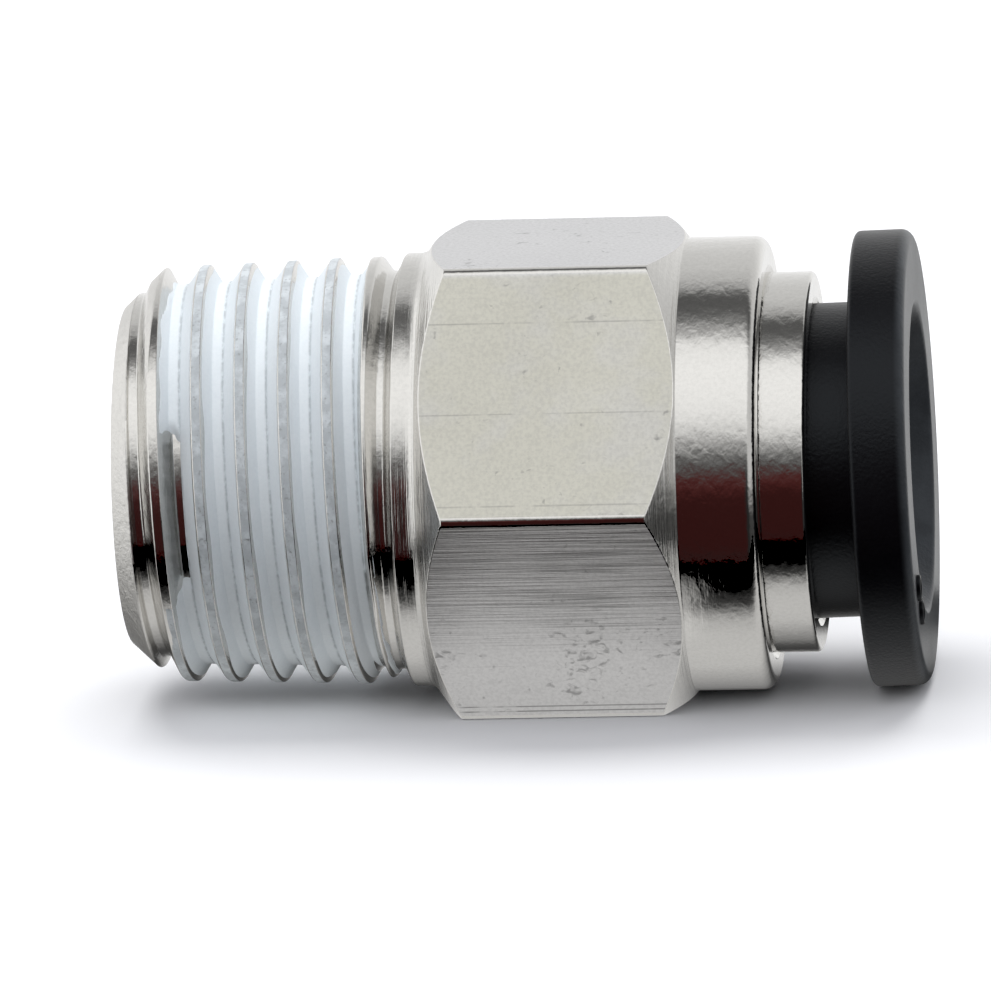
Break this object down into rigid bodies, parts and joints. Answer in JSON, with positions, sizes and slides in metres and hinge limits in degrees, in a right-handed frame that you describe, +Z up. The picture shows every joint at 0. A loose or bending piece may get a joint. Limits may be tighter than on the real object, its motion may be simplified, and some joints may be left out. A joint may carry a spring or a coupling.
{
  "type": "push to connect fitting",
  "caption": "Straight male push to connect fitting: sealed taper thread, hexagon, plated collar and guide ring, and a black release ring that frees the gripped tube when pushed in.",
  "frame": {"origin": "on the fitting's axis at the gauge plane of the male taper thread, 6 mm from the thread's end", "axes": "+X along the axis towards the tube mouth, +Z up with the fitting lying on one flat of its hexagon, +Y to the left when looking along +X"},
  "size_m": [0.0244, 0.016, 0.014],
  "materials": {
    "nickel_plated_brass": "nickel plated, satin drawn flats and turned collar",
    "dry_sealant": "matt dry coating",
    "nitrile_rubber": "moulded, slightly glossy",
    "natural_plastic": "moulded",
    "stainless_spring_steel": "stamped, bright",
    "nickel_plated_ring": "nickel plated, turned",
    "black_plastic": "moulded, fine texture"
  },
  "bodies": {
    "housing": {"body": "nickel_plated_brass", "thread_sealant": "dry_sealant", "seal": "nitrile_rubber", "support_ring": "natural_plastic", "guide_ring": "nickel_plated_ring"},
    "claw_ring": {"claw_ring": "stainless_spring_steel"},
    "release_ring": {"release_ring": "black_plastic"},
    "claw_1": {"claw_1": "stainless_spring_steel"},
    "claw_2": {"claw_2": "stainless_spring_steel"},
    "claw_3": {"claw_3": "stainless_spring_steel"},
    "claw_4": {"claw_4": "stainless_spring_steel"},
    "claw_5": {"claw_5": "stainless_spring_steel"},
    "claw_6": {"claw_6": "stainless_spring_steel"},
    "claw_7": {"claw_7": "stainless_spring_steel"},
    "claw_8": {"claw_8": "stainless_spring_steel"},
    "claw_9": {"claw_9": "stainless_spring_steel"},
    "claw_10": {"claw_10": "stainless_spring_steel"}
  },
  "joints": [
    {"name": "grip_swivel", "type": "hinge", "parent": "housing", "child": "claw_ring", "pos_m": [0.01145, 0, 0], "axis": [1, 0, 0], "continuous": true},
    {"name": "release_push", "type": "slide", "parent": "claw_ring", "child": "release_ring", "axis": [-1, 0, 0], "range_m": [0, 0.00125], "stiffness_N_per_m": 4000},
    {"name": "claw_1_flex", "type": "hinge", "parent": "claw_ring", "child": "claw_1", "pos_m": [0.01145, 0, 0.0054], "axis": [0, 1, 0], "range_deg": [0, 24]},
    {"name": "claw_2_flex", "type": "hinge", "parent": "claw_ring", "child": "claw_2", "pos_m": [0.01145, -0.00317, 0.00437], "axis": [0, 0.809, 0.5878], "range_deg": [0, 24]},
    {"name": "claw_3_flex", "type": "hinge", "parent": "claw_ring", "child": "claw_3", "pos_m": [0.01145, -0.00514, 0.00167], "axis": [0, 0.309, 0.9511], "range_deg": [0, 24]},
    {"name": "claw_4_flex", "type": "hinge", "parent": "claw_ring", "child": "claw_4", "pos_m": [0.01145, -0.00514, -0.00167], "axis": [0, -0.309, 0.9511], "range_deg": [0, 24]},
    {"name": "claw_5_flex", "type": "hinge", "parent": "claw_ring", "child": "claw_5", "pos_m": [0.01145, -0.00317, -0.00437], "axis": [0, -0.809, 0.5878], "range_deg": [0, 24]},
    {"name": "claw_6_flex", "type": "hinge", "parent": "claw_ring", "child": "claw_6", "pos_m": [0.01145, 0, -0.0054], "axis": [0, -1, 0], "range_deg": [0, 24]},
    {"name": "claw_7_flex", "type": "hinge", "parent": "claw_ring", "child": "claw_7", "pos_m": [0.01145, 0.00317, -0.00437], "axis": [0, -0.809, -0.5878], "range_deg": [0, 24]},
    {"name": "claw_8_flex", "type": "hinge", "parent": "claw_ring", "child": "claw_8", "pos_m": [0.01145, 0.00514, -0.00167], "axis": [0, -0.309, -0.9511], "range_deg": [0, 24]},
    {"name": "claw_9_flex", "type": "hinge", "parent": "claw_ring", "child": "claw_9", "pos_m": [0.01145, 0.00514, 0.00167], "axis": [0, 0.309, -0.9511], "range_deg": [0, 24]},
    {"name": "claw_10_flex", "type": "hinge", "parent": "claw_ring", "child": "claw_10", "pos_m": [0.01145, 0.00317, 0.00437], "axis": [0, 0.809, -0.5878], "range_deg": [0, 24]}
  ],
  "couplings": [
    {"joint": "claw_1_flex", "follows": "release_push", "rad_per_m": 335},
    {"joint": "claw_2_flex", "follows": "release_push", "rad_per_m": 335},
    {"joint": "claw_3_flex", "follows": "release_push", "rad_per_m": 335},
    {"joint": "claw_4_flex", "follows": "release_push", "rad_per_m": 335},
    {"joint": "claw_5_flex", "follows": "release_push", "rad_per_m": 335},
    {"joint": "claw_6_flex", "follows": "release_push", "rad_per_m": 335},
    {"joint": "claw_7_flex", "follows": "release_push", "rad_per_m": 335},
    {"joint": "claw_8_flex", "follows": "release_push", "rad_per_m": 335},
    {"joint": "claw_9_flex", "follows": "release_push", "rad_per_m": 335},
    {"joint": "claw_10_flex", "follows": "release_push", "rad_per_m": 335}
  ]
}
